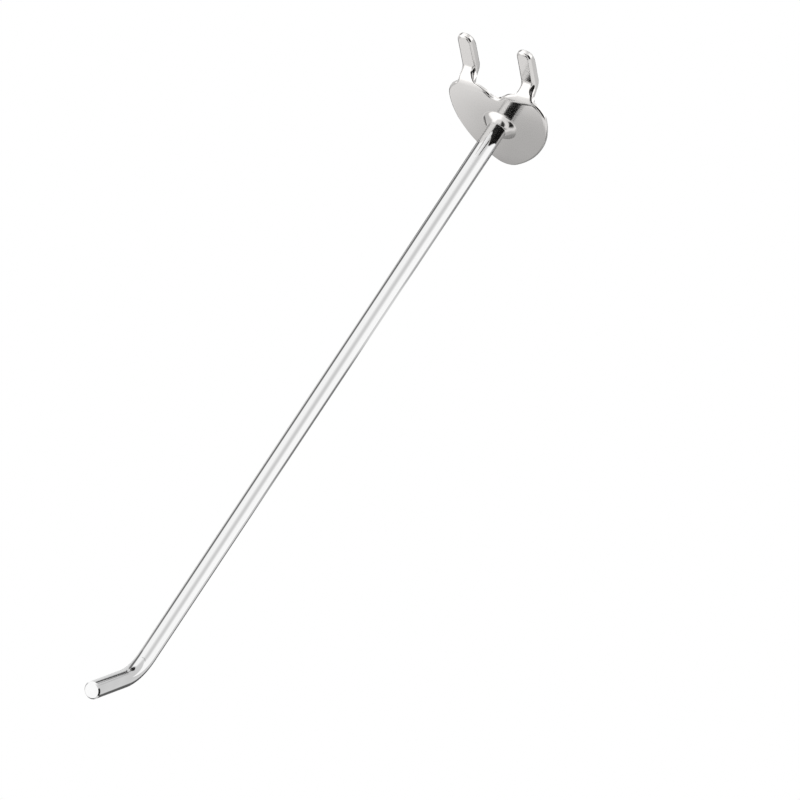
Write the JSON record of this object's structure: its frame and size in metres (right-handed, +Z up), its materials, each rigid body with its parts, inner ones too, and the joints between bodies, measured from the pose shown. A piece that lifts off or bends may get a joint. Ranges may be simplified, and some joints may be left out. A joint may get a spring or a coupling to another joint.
{
  "type": "pegboard hook",
  "caption": "Chrome pegboard hook with a heart-shaped back plate, prongs that drop behind the board, and a long round wire arm with an upturned tip for hanging goods.",
  "frame": {"origin": "on the arm's axis, at the plate's back face, which lies on the board", "axes": "+X to the right as seen from the front, +Y into the board, +Z up; the arm runs along -Y"},
  "size_m": [0.042, 0.3121, 0.0623],
  "materials": {
    "plated_zinc": "bright chrome plating on a die-cast zinc plate, softly waved by the casting",
    "plated_steel": "bright chrome plating on drawn steel wire, with faint lines along the wire"
  },
  "bodies": {
    "root": {"back_plate": "plated_zinc", "wire_arm": "plated_steel"}
  },
  "joints": []
}
